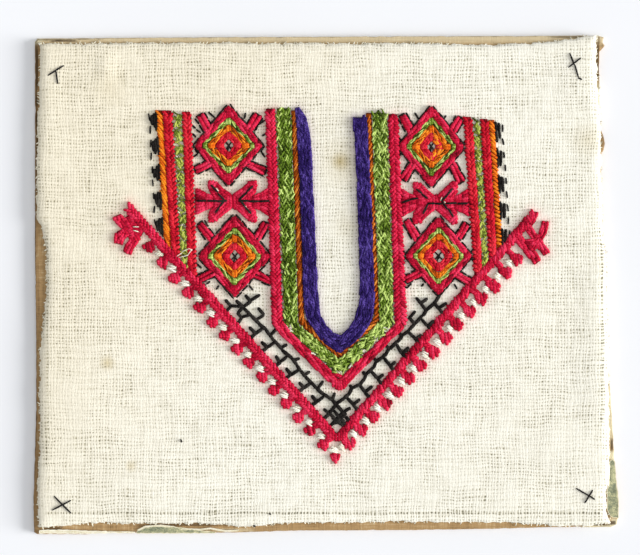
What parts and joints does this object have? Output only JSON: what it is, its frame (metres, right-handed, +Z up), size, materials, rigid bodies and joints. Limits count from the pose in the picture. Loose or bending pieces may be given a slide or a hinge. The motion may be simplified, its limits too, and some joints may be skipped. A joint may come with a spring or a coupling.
{
  "type": "embroidery sample on backing card",
  "caption": "Flat plain-weave cloth with a wool-embroidered pointed neckline, tacked by its corners to a worn backing card.",
  "frame": {"origin": "middle of the card's underside, which rests on the surface", "axes": "+Z up out of the stitched face, +Y towards the open end of the neckline, +X to the right of the stitched face"},
  "size_m": [0.1962, 0.1674, 0.0053],
  "materials": {
    "card": "worn brown board, matt, split at the edges",
    "cloth": "unbleached plain-weave cotton with slubs",
    "facing_paper": "grey-green facing paper, torn",
    "torn_paper": "torn cream edge of the facing paper",
    "crimson_wool": "twisted wool yarn, crimson",
    "orange_wool": "twisted wool yarn, orange",
    "green_wool": "twisted wool yarn, leaf and olive green",
    "purple_wool": "twisted wool yarn, deep violet-blue",
    "black_wool": "twisted wool yarn, black",
    "black_thread": "black cotton sewing thread"
  },
  "bodies": {
    "root": {"backing_card": "card", "ground_cloth": "cloth", "facing_scrap_bottom": "facing_paper", "facing_scrap_corner": "facing_paper", "torn_edge_bottom": "torn_paper", "tack_top_left": "black_thread", "tack_top_right": "black_thread", "tack_bottom_left": "black_thread", "tack_bottom_right": "black_thread", "neck_purple_edging": "purple_wool", "neck_orange_line": "orange_wool", "neck_green_band": "green_wool", "neck_crimson_line": "crimson_wool", "left_column_crimson_inner": "crimson_wool", "left_column_green": "green_wool", "left_column_crimson_outer": "crimson_wool", "left_column_orange": "orange_wool", "left_black_blocks": "black_wool", "left_black_running": "black_wool", "left_upper_crimson": "crimson_wool", "left_upper_green": "green_wool", "left_upper_orange": "orange_wool", "left_upper_crimson_heart": "crimson_wool", "left_lower_crimson": "crimson_wool", "left_lower_green": "green_wool", "left_lower_orange": "orange_wool", "left_lower_crimson_heart": "crimson_wool", "left_branch_motif": "crimson_wool", "right_column_crimson_inner": "crimson_wool", "right_column_green": "green_wool", "right_column_crimson_outer": "crimson_wool", "right_column_orange": "orange_wool", "right_black_blocks": "black_wool", "right_black_running": "black_wool", "right_upper_crimson": "crimson_wool", "right_upper_green": "green_wool", "right_upper_orange": "orange_wool", "right_upper_crimson_heart": "crimson_wool", "right_lower_crimson": "crimson_wool", "right_lower_green": "green_wool", "right_lower_orange": "orange_wool", "right_lower_crimson_heart": "crimson_wool", "right_branch_motif": "crimson_wool", "lower_border": "crimson_wool", "black_branches": "black_wool"}
  },
  "joints": []
}
